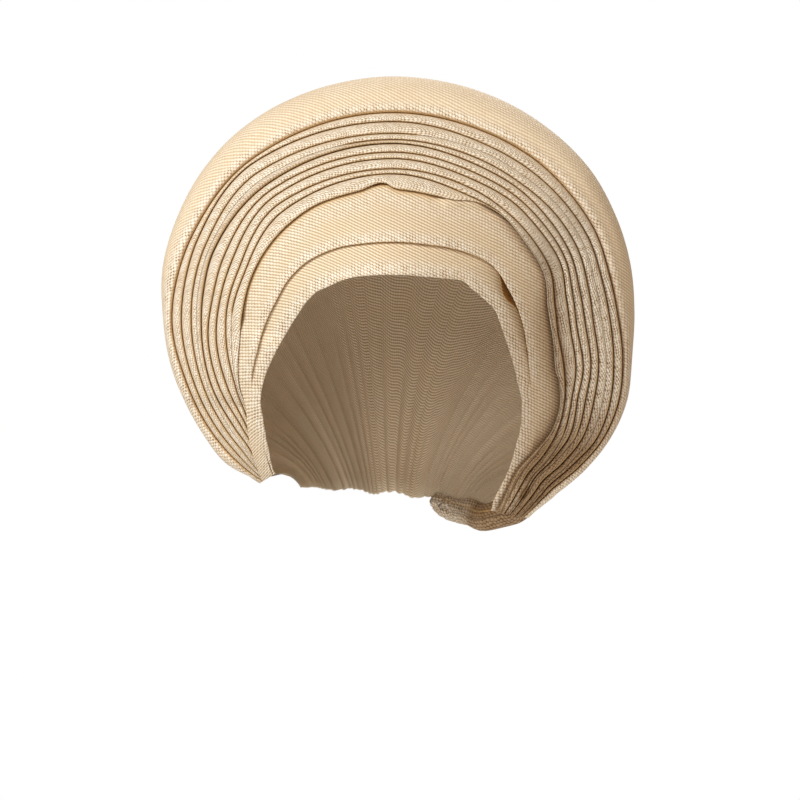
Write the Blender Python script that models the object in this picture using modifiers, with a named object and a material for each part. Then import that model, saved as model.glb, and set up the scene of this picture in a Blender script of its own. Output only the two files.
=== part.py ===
"""Tied gele head tie: stiff cloth wound round the head and pleated into a broad fan over the brow.

Metres, +Z up, -Y to the front.  The origin is the middle of the head opening, between the ears.
An angle runs round the face in degrees: 0 straight up, positive to the viewer's right.
A share runs outward along the front at one angle: 0 at the face edge, 1 at the rim.
Layers of cloth lie one behind the other along Y, so their edges stay where the front view has them.
"""

import math
from collections import namedtuple

import bmesh
import bpy
import numpy as np
from mathutils import Vector

# Front of the head tie
FACE_RADIUS = 0.0674     # from the origin up to the lower edge of the brow band
FRONT_WIDTH = 0.1152     # from that edge to the rim, straight up, as the front view shows it
FACE_DEPTH = 0.0965      # how far the front's own surface starts before the ears
REAR_DEPTH = 0.014       # how far behind the ears that surface ends
FRONT_CURVE = 1.25       # power of the share that the depth follows: above 1 it starts flat
BRIM_ROLL = 0.024        # how far the brim turns back between its last pleat and the rim

# Cloth
BAND_WALL = 0.0018       # the wound bands, two layers each
PLEAT_WALL = 0.0014      # pleats, brim and crown, behind the deepest groove
PLEAT_DEPTH = 0.0024     # from a pleat's crest to the floor of its groove
GAP = 0.0006             # between layers that lie on each other, along Y

# Back of the head tie
NAPE_WIDTH = 0.124       # across the hem at the nape
NAPE_DEPTH = 0.083       # how far behind the ears the hem lies
NAPE_START = 0.0115      # where the hem's arc has its middle, behind the ears
NAPE_DROP = 0.057        # how far below the ears the hem lies
NAPE_TILT = 0.006        # how much lower the right end of the hem lies than its middle
GATHERS = 5              # soft gathers from the rim to the nape

# Tucked end
KNOT_RADIUS = 0.0085
KNOT_END = (0.018, -0.009, 0.004)    # from under the hem's right corner: outward, forward, up

# Places round the face, degrees
FAN_OVER_FOOT = (-93, -99)    # the fan's inner edge slips under the over band, towards the left foot
OVER_FRONT = (-88, -93)       # the over band comes forward over the fan, towards the left foot
OVER_BEHIND = (-66, -62)      # the over band passes back behind the fan
OVER_TUCK = (-62, -56)        # its edge goes on under the first pleat
FIRST_PLEAT = (-64, -58, 20, 26)    # the first groove deepens, and runs out again
FEET = (-85, -122, 105, 136)  # all grooves grow shallow towards both feet
MAX_STEP = 5.1                # between two sections of the model
HEM_ARC = 62                  # half the arc of the hem at the nape

# Shares
OVERLAP = 0.08           # of the front: how far the brow band goes on under the over band
TUCK = 0.05              # of the front: how far the over band goes on under the first pleat
FOOT_TUCK = 0.12         # of the front: how far the fan goes on under the over band, left foot
FOOT_SPREAD = 0.19       # of the front: how much the over band widens over the left foot
UNDERCUT = 0.12          # of a pitch: how far a groove reaches under its pleat's lip
SHOULDER = 0.08          # of a pitch: where the floor lies once the groove has run out
CREST = 0.30             # of a pitch: from a pleat's lip to its crest
NOSE = 0.30              # of PLEAT_DEPTH: how far the lip lies behind the crest
FOOT_RELIEF = 0.35       # of PLEAT_DEPTH: what is left of a groove at the feet
BRIM_TURNS = (0.25, 0.45, 0.65, 0.85, 1.0)
HEM = 0.12               # of the back's length: the fan's hem behind the rim
DRAPE_ROWS = (0.06, 0.12, 0.20, 0.30, 0.42, 0.55, 0.68, 0.80, 0.90, 1.0)
RIM_PULL = 0.36          # of the chord: how far the back leaves the rim straight to the rear
NAPE_PULL = 0.40         # of the chord: how strongly it bends in to the nape
NAPE_OUT = 0.50          # outward part of that bend
NAPE_UP = 0.80           # upward part of that bend
GATHER_DEPTH = 0.018     # of the chord
GATHER_START = (0.12, 0.35)   # where along the back the gathers deepen

# One row for each section of the front.
# face: of FACE_RADIUS.  width: of FRONT_WIDTH.  depth: of FACE_DEPTH.  rear: of REAR_DEPTH.
# roll: of BRIM_ROLL.  over and fan: shares where the over band and the first pleat start.
Section = namedtuple("Section", "angle face width depth rear roll over fan")
SECTIONS = (
    Section(-122, 1.159, 0.083, 0.11, 0.43, 0.30, 0.05, 0.270),
    Section(-110, 1.096, 0.237, 0.22, 0.43, 0.40, 0.08, 0.270),
    Section(-85, 1.073, 0.436, 0.40, 0.43, 0.50, 0.12, 0.270),
    Section(-60, 1.019, 0.702, 0.62, 0.50, 0.65, 0.145, 0.343),
    Section(-30, 1.049, 0.902, 0.867, 0.80, 0.90, 0.168, 0.403),
    Section(0, 1.000, 1.000, 1.00, 1.00, 1.00, 0.157, 0.429),
    Section(30, 1.077, 0.899, 0.867, 0.80, 0.90, 0.168, 0.441),
    Section(60, 1.039, 0.730, 0.62, 0.50, 0.65, 0.141, 0.343),
    Section(85, 1.040, 0.555, 0.40, 0.43, 0.50, 0.09, 0.354),
    Section(110, 1.080, 0.367, 0.20, 0.50, 0.42, 0.08, 0.270),
    Section(136, 1.221, 0.102, 0.00, 0.86, 0.30, 0.12, 0.260),
)

# One row for each groove between two pleats, one column for each section: the share it lies at
Groove = namedtuple("Groove", "foot_l low_l ear_l temple_l brow_l top brow_r temple_r ear_r low_r foot_r")
GROOVES = (
    Groove(0.22, 0.17, 0.30, 0.413, 0.480, 0.497, 0.462, 0.360, 0.370, 0.29, 0.30),
    Groove(0.28, 0.20, 0.31, 0.456, 0.525, 0.521, 0.478, 0.398, 0.408, 0.40, 0.38),
    Groove(0.36, 0.24, 0.41, 0.521, 0.575, 0.573, 0.537, 0.491, 0.488, 0.50, 0.46),
    Groove(0.44, 0.30, 0.506, 0.578, 0.614, 0.605, 0.572, 0.541, 0.555, 0.60, 0.54),
    Groove(0.52, 0.385, 0.594, 0.656, 0.653, 0.649, 0.615, 0.598, 0.627, 0.68, 0.62),
    Groove(0.62, 0.53, 0.691, 0.736, 0.737, 0.688, 0.648, 0.663, 0.700, 0.76, 0.70),
    Groove(0.73, 0.66, 0.790, 0.808, 0.797, 0.763, 0.740, 0.772, 0.845, 0.85, 0.80),
    Groove(0.85, 0.787, 0.878, 0.874, 0.820, 0.811, 0.806, 0.834, 0.926, 0.91, 0.90),
)

# Small nicks in the lower edge of the brow band.  spread in degrees, height of FACE_RADIUS
Nick = namedtuple("Nick", "angle spread height")
NICKS = (
    Nick(32, 3, 0.022),
    Nick(44, 9, 0.033),
)

# The tucked end, from under the nape outward.  along: of its length.  size: of KNOT_RADIUS
Roll = namedtuple("Roll", "along size twist")
ROLLS = (
    Roll(0.00, 0.50, 0),
    Roll(0.12, 0.80, 20),
    Roll(0.32, 0.92, 50),
    Roll(0.60, 1.00, 85),
    Roll(0.85, 1.00, 120),
    Roll(0.95, 0.85, 150),
    Roll(1.00, 0.55, 165),
)
KNOT_START = 0.40        # of the hem's right half: where the tucked end starts
KNOT_HEM_SHARE = 0.65    # of the tucked end's length: how much of it runs along the hem
KNOT_RINGS = 16
KNOT_SIDES = 12
KNOT_LOBES = 3
LOBE = 0.10              # of the roll's radius

ANGLES = [row.angle for row in SECTIONS]
UP_ANGLE = 0.5 * (ANGLES[0] + ANGLES[-1])    # the middle of the back
BACK = Vector((0, 1, 0))

# Linear colour and roughness of each piece
CREAM = (0.81, 0.66, 0.46)
SHADED = (0.74, 0.58, 0.39)
COLOURS = {
    "brow_band": CREAM,
    "over_band": CREAM,
    "pleated_fan": CREAM,
    "crown_drape": SHADED,
    "nape_knot": SHADED,
}
ROUGHNESS = 0.55


def clear_scene():
    for old in list(bpy.data.objects):
        bpy.data.objects.remove(old, do_unlink=True)


def ramp(value, start, end):
    """0 at start and before it, 1 at end and past it, smooth between; start may be the larger."""
    u = min(max((value - start) / (end - start), 0.0), 1.0)
    return u * u * (3 - 2 * u)


def curve_value(values, angle):
    """A smooth value at an angle, through one value for each section, with no overshoot."""
    steps = np.diff(ANGLES)
    slopes = np.diff(values) / steps
    tangents = np.zeros(len(values))
    tangents[0] = slopes[0]
    tangents[-1] = slopes[-1]
    for i in range(1, len(values) - 1):
        before, after = slopes[i - 1], slopes[i]
        if before * after > 0:
            tangents[i] = 2 * before * after / (before + after)
    i = int(np.clip(np.searchsorted(ANGLES, angle) - 1, 0, len(steps) - 1))
    u = (angle - ANGLES[i]) / steps[i]
    rise = values[i + 1] - values[i]
    start = tangents[i] * steps[i]
    end = tangents[i + 1] * steps[i]
    return values[i] + u * (start + u * (3 * rise - 2 * start - end + u * (start + end - 2 * rise)))


def column(name, angle):
    return curve_value([getattr(row, name) for row in SECTIONS], angle)


def stations():
    """The angles of the sections, close enough for round edges, with every change between two."""
    keys = {ANGLES[0], ANGLES[-1], *FAN_OVER_FOOT, *OVER_FRONT, *OVER_BEHIND, *OVER_TUCK}
    angles = []
    for start, end in zip(sorted(keys), sorted(keys)[1:]):
        count = math.ceil((end - start) / MAX_STEP)
        angles.extend(np.linspace(start, end, count, endpoint=False))
    return angles + [ANGLES[-1]]


def outward(angle):
    turn = math.radians(angle)
    return Vector((math.sin(turn), 0, math.cos(turn)))


def face_radius(angle):
    share = column("face", angle)
    for nick in NICKS:
        share += nick.height * math.exp(-(((angle - nick.angle) / nick.spread) ** 2))
    return FACE_RADIUS * share


def front_width(angle):
    return FRONT_WIDTH * column("width", angle)


def front_point(angle, share):
    """A point of the smooth surface that the front's layers follow."""
    start = -FACE_DEPTH * column("depth", angle)
    end = REAR_DEPTH * column("rear", angle)
    radius = face_radius(angle) + front_width(angle) * share
    return outward(angle) * radius + BACK * (start + (end - start) * share ** FRONT_CURVE)


def groove_share(number, angle):
    return curve_value(GROOVES[number], angle)


def fan_edge(angle):
    return column("fan", angle) - FOOT_TUCK * ramp(angle, *FAN_OVER_FOOT)


def gap_share(angle):
    return GAP / front_width(angle)


def over_edges(angle):
    """Inner and outer share of the over band: over the fan, then beside it, then under it."""
    outer = column("fan", angle) - gap_share(angle)
    outer += FOOT_SPREAD * max(0.0, (OVER_FRONT[1] - angle) / (OVER_FRONT[1] - ANGLES[0]))
    outer += (gap_share(angle) + TUCK) * ramp(angle, *OVER_TUCK)
    return column("over", angle), outer


def brow_edge(angle):
    """Outer share of the brow band: under the over band, and short of the fan at the left foot."""
    return min(column("over", angle) + OVERLAP, fan_edge(angle) - gap_share(angle))


def fan_depth(angle):
    return (BAND_WALL + GAP) * ramp(angle, *OVER_FRONT)


def over_depth(angle):
    return (PLEAT_DEPTH + PLEAT_WALL + GAP) * ramp(angle, *OVER_BEHIND)


def relief(number, angle):
    """How deep a groove is at an angle, as a share of PLEAT_DEPTH."""
    left, left_foot, right, right_foot = FEET
    depth = 1 - (1 - FOOT_RELIEF) * (ramp(angle, left, left_foot) + ramp(angle, right, right_foot))
    if number == 0:
        start, full, fading, end = FIRST_PLEAT
        depth *= ramp(angle, start, full) * (1 - ramp(angle, fading, end))
    return depth


def brim_point(angle, turn):
    """A point of the brim: turn 0 at the last groove, 1 at the rim, a quarter of an ellipse."""
    root_share = groove_share(-1, angle)
    root = front_point(angle, root_share)
    swing = math.radians(90) * turn
    reach = front_width(angle) * (1 - root_share) * math.sin(swing)
    drop = BRIM_ROLL * column("roll", angle) * (1 - math.cos(swing))
    return root + outward(angle) * reach + BACK * (drop + fan_depth(angle))


def brim_inside(angle, turn):
    """The brim's rear face: as thick as the pleats at its root, one wall thick at the rim."""
    swing = math.radians(90) * turn
    thick = BACK * (PLEAT_DEPTH + PLEAT_WALL) * math.cos(swing)
    return brim_point(angle, turn) + thick - outward(angle) * PLEAT_WALL * math.sin(swing)


def pleat_point(angle, share, depth):
    """A point of the fan, depth metres behind its crests."""
    root = groove_share(-1, angle)
    if share > root:
        return brim_point(angle, (share - root) / (1 - root)) + BACK * depth
    return front_point(angle, share) + BACK * (depth + fan_depth(angle))


def nape_point(angle):
    """A point of the hem at the nape, and the way out from the head there."""
    side = (angle - UP_ANGLE) / (ANGLES[-1] - UP_ANGLE)
    turn = math.radians(HEM_ARC * side)
    out = Vector((math.sin(turn), math.cos(turn), 0))
    reach_x = 0.5 * NAPE_WIDTH
    reach_y = NAPE_DEPTH - NAPE_START
    drop = NAPE_DROP + NAPE_TILT * side
    return Vector((reach_x * out.x, NAPE_START + reach_y * out.y, -drop)), out


def back_base(angle, along):
    """A point of the back's smooth surface: along 0 at the rim, 1 at the nape."""
    rim = brim_point(angle, 1)
    nape, out = nape_point(angle)
    chord = (nape - rim).length
    rim_handle = rim + BACK * RIM_PULL * chord
    nape_handle = nape + (out * NAPE_OUT + Vector((0, 0, NAPE_UP))) * NAPE_PULL * chord
    rest = 1 - along
    start = rim * rest ** 3 + rim_handle * 3 * rest ** 2 * along
    return start + nape_handle * 3 * rest * along ** 2 + nape * along ** 3


def back_point(angle, along, inset):
    """A point inset metres inside the back's smooth surface."""
    tiny = 0.001
    across = back_base(angle + 1, along) - back_base(angle - 1, along)
    down = back_base(angle, along + tiny) - back_base(angle, max(along - tiny, 0))
    return back_base(angle, along) + down.cross(across).normalized() * inset


def gather_depth(angle, along):
    """How far a soft gather draws the crown in, as a share of the chord."""
    turns = GATHERS * (angle - ANGLES[0]) / (ANGLES[-1] - ANGLES[0])
    return GATHER_DEPTH * ramp(along, *GATHER_START) * 0.5 * (1 - math.cos(2 * math.pi * turns))


def new_material(name):
    material = bpy.data.materials.new(name + "_cloth")
    material.use_nodes = True
    shader = material.node_tree.nodes["Principled BSDF"]
    shader.inputs["Base Color"].default_value = (*COLOURS[name], 1)
    shader.inputs["Roughness"].default_value = ROUGHNESS
    shader.inputs["Metallic"].default_value = 0.0
    return material


def add_object(name, mesh, collection):
    mesh.shade_smooth()
    mesh.set_sharp_from_angle(angle=math.radians(35))
    piece = bpy.data.objects.new(name, mesh)
    piece.data.materials.append(new_material(name))
    collection.objects.link(piece)
    return piece


def loft(name, rings, collection, closed=True):
    """A skin over rings of as many points each; closed rings get end faces and make a solid."""
    shape = bmesh.new()
    rows = [[shape.verts.new(point) for point in ring] for ring in rings]
    count = len(rows[0])
    last = count if closed else count - 1
    for row, following in zip(rows, rows[1:]):
        for i in range(last):
            j = (i + 1) % count
            shape.faces.new((row[i], following[i], following[j], row[j]))
    if closed:
        shape.faces.new(rows[0])
        shape.faces.new(reversed(rows[-1]))
    mesh = bpy.data.meshes.new(name)
    shape.to_mesh(mesh)
    shape.free()
    return add_object(name, mesh, collection)


def strip_ring(angle, shares, depth):
    """Outline of a band: its front face outward along the shares, its rear face back again."""
    front = [front_point(angle, share) + BACK * depth for share in shares]
    rear = [point + BACK * BAND_WALL for point in reversed(front)]
    return front + rear


def brow_ring(angle):
    outer = brow_edge(angle)
    under = min(column("over", angle), 0.75 * outer)
    shares = (0, 0.5 * under, under, 0.5 * (under + outer), outer)
    return strip_ring(angle, shares, over_depth(angle) + BAND_WALL + GAP)


def over_ring(angle):
    inner, outer = over_edges(angle)
    lap = inner + OVERLAP
    first_pleat = outer - TUCK
    shares = (inner, 0.5 * (inner + lap), lap, 0.5 * (lap + first_pleat), first_pleat, outer)
    return strip_ring(angle, shares, over_depth(angle))


def fan_ring(angle):
    """Outline of the pleated cloth: out over pleats, brim and hem, and back inside them."""
    edge = fan_edge(angle)
    lines = [edge] + [groove_share(number, angle) for number in range(len(GROOVES))] + [1.0]
    ring = [
        pleat_point(angle, edge, NOSE * PLEAT_DEPTH),
        pleat_point(angle, edge + CREST * (lines[1] - edge), 0),
    ]
    for number in range(len(GROOVES)):
        before, line, after = lines[number:number + 3]
        pitch = min(line - before, after - line)
        deep = relief(number, angle)
        floor = line + pitch * (UNDERCUT * deep - SHOULDER * (1 - deep))
        ring.append(pleat_point(angle, floor, PLEAT_DEPTH * deep))
        ring.append(pleat_point(angle, line, NOSE * PLEAT_DEPTH * deep))
        ring.append(pleat_point(angle, line + CREST * pitch, 0))
    ring.extend(brim_point(angle, turn) for turn in BRIM_TURNS)
    hem = (0.5 * HEM, HEM)
    ring.extend(back_point(angle, along, 0) for along in hem)
    ring.extend(back_point(angle, along, PLEAT_WALL) for along in reversed(hem))
    ring.extend(brim_inside(angle, turn) for turn in reversed(BRIM_TURNS))
    inside = [edge, edge + TUCK] + lines[3:-1]
    ring.extend(pleat_point(angle, share, PLEAT_DEPTH + PLEAT_WALL) for share in reversed(inside))
    return ring


def drape_point(angle, along):
    """A point of the crown's outer face, one wall and one gap inside the fan's hem."""
    nape, out = nape_point(angle)
    chord = (nape - brim_point(angle, 1)).length
    return back_point(angle, along, PLEAT_WALL + GAP + chord * gather_depth(angle, along))


def roll_value(name, along):
    return float(np.interp(along, [roll.along for roll in ROLLS], [getattr(roll, name) for roll in ROLLS]))


def knot_centre(along):
    """The tucked end's middle line: under the hem, then straight on past its right corner."""
    on_hem = min(along / KNOT_HEM_SHARE, 1)
    past = max(along - KNOT_HEM_SHARE, 0) / (1 - KNOT_HEM_SHARE)
    seat = drape_point(UP_ANGLE + (ANGLES[-1] - UP_ANGLE) * (KNOT_START + (1 - KNOT_START) * on_hem), 1)
    drop = KNOT_RADIUS * max(roll_value("size", along), past) + GAP
    return seat - Vector((0, 0, drop)) + Vector(KNOT_END) * past


def knot_ring(along):
    """One lobed ring of the tucked end, square to its middle line."""
    tiny = 0.02
    centre = knot_centre(along)
    forward = (knot_centre(min(along + tiny, 1)) - knot_centre(max(along - tiny, 0))).normalized()
    side = forward.cross(Vector((0, 0, 1))).normalized()
    up = side.cross(forward)
    ring = []
    for i in range(KNOT_SIDES):
        turn = 2 * math.pi * i / KNOT_SIDES
        lobes = math.cos(KNOT_LOBES * turn + math.radians(roll_value("twist", along)))
        radius = KNOT_RADIUS * roll_value("size", along) * (1 - LOBE + LOBE * lobes)
        ring.append(centre + (side * math.cos(turn) + up * math.sin(turn)) * radius)
    return ring


def build():
    clear_scene()
    collection = bpy.data.collections.new("tied_gele_head_tie")
    bpy.context.scene.collection.children.link(collection)
    angles = stations()
    loft("brow_band", [brow_ring(angle) for angle in angles], collection)
    loft("over_band", [over_ring(angle) for angle in angles], collection)
    loft("pleated_fan", [fan_ring(angle) for angle in angles], collection)
    crown = [[drape_point(angle, along) for along in DRAPE_ROWS] for angle in angles]
    drape = loft("crown_drape", crown, collection, closed=False)
    wall = drape.modifiers.new("cloth wall", "SOLIDIFY")
    wall.thickness = PLEAT_WALL
    wall.offset = -1
    loft("nape_knot", [knot_ring(along) for along in np.linspace(0, 1, KNOT_RINGS)], collection)


build()
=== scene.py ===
# %% [markdown]
# # A tied gele head tie
#
# The real thing is one long, stiff, woven cloth. It is wound round the head twice, which makes
# two bands over the brow. The rest is laid in deep pleats that run from ear to ear over the
# crown, and its free edge opens into a broad round brim. Behind, the cloth closes over the crown
# and is gathered to the nape, where the end is rolled and tucked in.
#
# Each piece below is one surface: a function of the angle round the face and of the way across
# the cloth, worked out for a whole grid at once.

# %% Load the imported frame
import math
from collections import namedtuple

import bpy
import numpy as np
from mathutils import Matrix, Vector


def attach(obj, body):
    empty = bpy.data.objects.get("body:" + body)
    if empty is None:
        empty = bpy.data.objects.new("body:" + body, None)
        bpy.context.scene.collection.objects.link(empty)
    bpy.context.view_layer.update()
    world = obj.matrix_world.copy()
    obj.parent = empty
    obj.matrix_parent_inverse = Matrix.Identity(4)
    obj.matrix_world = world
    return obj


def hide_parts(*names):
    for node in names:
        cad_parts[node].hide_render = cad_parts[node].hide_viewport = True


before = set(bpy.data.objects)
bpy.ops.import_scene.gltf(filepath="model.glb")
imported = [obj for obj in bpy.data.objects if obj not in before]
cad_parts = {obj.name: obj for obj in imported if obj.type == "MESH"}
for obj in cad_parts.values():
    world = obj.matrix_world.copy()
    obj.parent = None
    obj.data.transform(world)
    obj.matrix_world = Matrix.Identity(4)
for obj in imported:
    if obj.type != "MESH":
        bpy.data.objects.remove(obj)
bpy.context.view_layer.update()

# %% [markdown]
# ## Camera
#
# The picture is taken from straight in front, at the height of the ears, with a long lens.
# A radius in this file is read in the picture, in pixels of its 800 x 800 frame, from the pixel
# where the origin shows. The camera's own law turns it into metres at the depth where it lies.

# %% Camera
PIXEL = 0.00056            # metres for each pixel, in the plane of the ears
VIEW_DISTANCE = 2.4        # from the camera to that plane
IMAGE = 800                # pixels across the picture
CENTRE_X, CENTRE_Y = 393, 400    # the pixel where the origin shows
SENSOR = 36.0              # millimetres

camera_data = bpy.data.cameras.new("front_camera")
camera_data.sensor_width = SENSOR
camera_data.lens = SENSOR * VIEW_DISTANCE / (PIXEL * IMAGE)
camera = bpy.data.objects.new("front_camera", camera_data)
camera.location = ((IMAGE / 2 - CENTRE_X) * PIXEL, -VIEW_DISTANCE, (CENTRE_Y - IMAGE / 2) * PIXEL)
camera.rotation_euler = (math.pi / 2, 0, 0)
bpy.context.scene.collection.objects.link(camera)
bpy.context.scene.camera = camera
print("lens", round(camera_data.lens), "mm")

# %% [markdown]
# ## Light and floor
#
# A soft lamp stands to the left, in front and above, and a weak, warm one fills from the right,
# so the folds on the left are pale and those on the right turn brown, as in the picture; painted
# shade in the cloth's colour darkens the right side further. The camera sees a white room, and the
# cloth a dimmer and warmer one.

# %% Light and floor
WHITE, COOL, WARM = (1.0, 1.0, 1.0), (0.98, 1.0, 1.01), (1.0, 0.78, 0.54)
LAMP_TARGET = Vector((0, 0, 0.06))
ROOM_COLOUR, ROOM_STRENGTH = (1.0, 0.92, 0.82, 1), 0.30
PAPER_COLOUR = (0.93, 0.93, 0.93, 1)
FLOOR_DROP = 0.42          # below the origin
FLOOR_SIZE = 3.6


def add_lamp(name, place, size, power, colour=WHITE):
    """A square lamp at a place, turned to the head tie."""
    lamp_data = bpy.data.lights.new(name, "AREA")
    lamp_data.size = size
    lamp_data.energy = power
    lamp_data.color = colour
    lamp = bpy.data.objects.new(name, lamp_data)
    lamp.location = place
    lamp.rotation_euler = (LAMP_TARGET - Vector(place)).to_track_quat("-Z", "Y").to_euler()
    bpy.context.scene.collection.objects.link(lamp)


add_lamp("key_lamp", (-1.55, -1.5, 1.8), 0.6, 58, COOL)
add_lamp("front_lamp", (-0.5, -2.6, 0.9), 1.0, 12.5)
add_lamp("fill_lamp", (2.0, -1.2, 0.4), 1.6, 8.5, WARM)
add_lamp("back_lamp", (0.6, 2.4, 1.6), 1.6, 26)

bpy.context.scene.view_settings.view_transform = "Standard"
world = bpy.data.worlds.new("white_room")
world.use_nodes = True
bpy.context.scene.world = world
room = world.node_tree.nodes
room["Background"].inputs["Color"].default_value = ROOM_COLOUR
room["Background"].inputs["Strength"].default_value = ROOM_STRENGTH
seen = room.new("ShaderNodeBackground")
seen.inputs["Color"].default_value = (1, 1, 1, 1)
seen.inputs["Strength"].default_value = 1.0
rays = room.new("ShaderNodeLightPath")
choice = room.new("ShaderNodeMixShader")
world.node_tree.links.new(rays.outputs["Is Camera Ray"], choice.inputs["Fac"])
world.node_tree.links.new(room["Background"].outputs["Background"], choice.inputs[1])
world.node_tree.links.new(seen.outputs["Background"], choice.inputs[2])
world.node_tree.links.new(choice.outputs["Shader"], room["World Output"].inputs["Surface"])

bpy.ops.mesh.primitive_plane_add(size=FLOOR_SIZE, location=(0, 0, -FLOOR_DROP))
floor = bpy.context.object
floor.name = "floor"
paper = bpy.data.materials.new("floor_paper")
paper.use_nodes = True
paper.node_tree.nodes["Principled BSDF"].inputs["Base Color"].default_value = PAPER_COLOUR
paper.node_tree.nodes["Principled BSDF"].inputs["Roughness"].default_value = 0.9
floor.data.materials.append(paper)

# %% [markdown]
# ## Sizes and the picture's lines
#
# The main sizes are the solid model's own. The depths of the pleats are chosen, because a view
# from the front doesn't show them. The tables hold the lines that show in the picture, each with
# the angle round the face (0 straight up, positive to the viewer's right) and its radius.

# %% Sizes
FACE_DEPTH = 0.0965        # how far the front starts before the ears
REAR_DEPTH = 0.014         # how far behind the ears it ends
FRONT_CURVE = 1.25         # power of the share that the depth follows
BRIM_ROLL = 0.024          # how far the brim turns back
BAND_WALL = 0.0018         # a wound band, two layers
PLEAT_WALL = 0.0006        # cloth behind the deepest groove
FIRST_FLOOR = 0.0032       # depth of the first groove, over the band that runs under it
SECOND_FLOOR = 0.0036
PLEAT_FLOOR = 0.0050       # depth of the other grooves
PROUD = 0.0010             # how far a pleat's crest stands out
LAYER = 0.0044             # from the pleats' own surface to the band that runs under them
GAP = 0.0006
FOOT_SLANT = 0.236         # degrees a pixel: how the pleats' right ends are cut to meet the knot
FOOT_START = 116           # the angle where this cut starts
FOOT_PIVOT = 158.5         # the radius that it turns about
OVER_CROSSES = (-67, -61)  # degrees: to the left the over band lies on the pleats, to the right under them
FAN_CROSSES = (-93, -88)   # degrees: to the left the fan lies behind the over band's foot

Section = namedtuple("Section", "angle face depth rear roll")
SECTIONS = (
    Section(-122, 140, 0.11, 0.43, 0.30),
    Section(-110, 133, 0.22, 0.43, 0.40),
    Section(-85, 131, 0.40, 0.43, 0.50),
    Section(-60, 126, 0.62, 0.50, 0.65),
    Section(-30, 130, 0.867, 0.80, 0.90),
    Section(0, 126, 1.00, 1.00, 1.00),
    Section(30, 134, 0.867, 0.80, 0.90),
    Section(60, 130, 0.62, 0.50, 0.65),
    Section(85, 127, 0.40, 0.43, 0.50),
    Section(110, 131, 0.20, 0.50, 0.42),
    Section(136, 148, 0.00, 0.86, 0.30),
)
LEFT_FOOT, RIGHT_FOOT = SECTIONS[0].angle, SECTIONS[-1].angle

# %% Lines of the picture
Spot = namedtuple("Spot", "angle radius")


def line(*pairs):
    return [Spot(*pair) for pair in pairs]


FACE_EDGE = line(
    (-122, 140), (-110, 133), (-100, 131), (-90, 132), (-80, 130), (-70, 127), (-60, 125.5), (-50, 127),
    (-40, 131), (-35, 132), (-30, 130.5), (-20, 129.3), (-10, 126.3), (0, 125), (10, 126), (20, 130),
    (27, 135.4), (31, 138.2), (32.5, 138), (34.5, 136.6), (39, 136), (47, 136.3), (50.5, 134.9),
    (53, 132.8), (57, 130.3), (63, 127.6), (70, 126),
    (80, 125.5), (90, 128.5), (100, 130), (110, 131), (120, 134.8), (130, 140.5), (136, 148),
)
OVER_EDGE = line(
    (-122, 142), (-110, 138), (-100, 138), (-90, 140.5), (-78, 143), (-70, 144), (-60, 148), (-50, 152.7),
    (-40, 159.6), (-30, 162.7), (-20, 161.7), (-10, 159), (0, 158), (10, 158.5), (20, 162), (30, 166),
    (35, 167.3), (40, 165.4), (45, 161), (50, 157.5), (60, 150), (70, 143), (80, 139), (90, 138),
    (100, 137.5), (110, 138), (120, 139), (136, 150),
)
OVER_OUT = line((-122, 153.5), (-110, 150.4), (-100, 148), (-95, 147), (-90, 147))
LIP = line(
    (-122, 142.4), (-110, 140), (-100, 141), (-85, 154.5), (-70, 163.5), (-60, 174), (-50, 186.3),
    (-40, 197), (-30, 205), (-20, 210.2), (-13, 211), (-9, 212), (-6.2, 214.8), (-5, 216.3),
    (-3.2, 217.4), (-1.6, 216.4), (-0.2, 212.8), (1.5, 211), (6, 209.8),
    (13, 208.6), (17, 209.4), (21, 213.6), (25, 215.6), (30, 214.6), (40, 205.8), (50, 197), (60, 179.4),
    (70, 170.6), (80, 165.4), (83, 167), (90, 167.5), (100, 162.5), (110, 151), (120, 143.4), (136, 153),
)
RIM = line(
    (-122, 155.8), (-120, 159), (-110, 180), (-100, 193.4), (-90, 209), (-85, 218), (-80, 227), (-70, 245),
    (-60, 266), (-50, 282.5), (-40, 298), (-30, 310), (-20, 317.4), (-10, 321.6), (0, 323.7), (10, 322.4),
    (20, 319), (30, 312.8), (40, 304), (50, 289.8), (60, 274), (70, 257), (80, 242.8), (90, 234.2),
    (100, 220.7), (110, 204.5), (120, 189.5), (125, 186.5), (130, 183), (136, 178.6),
)

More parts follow.
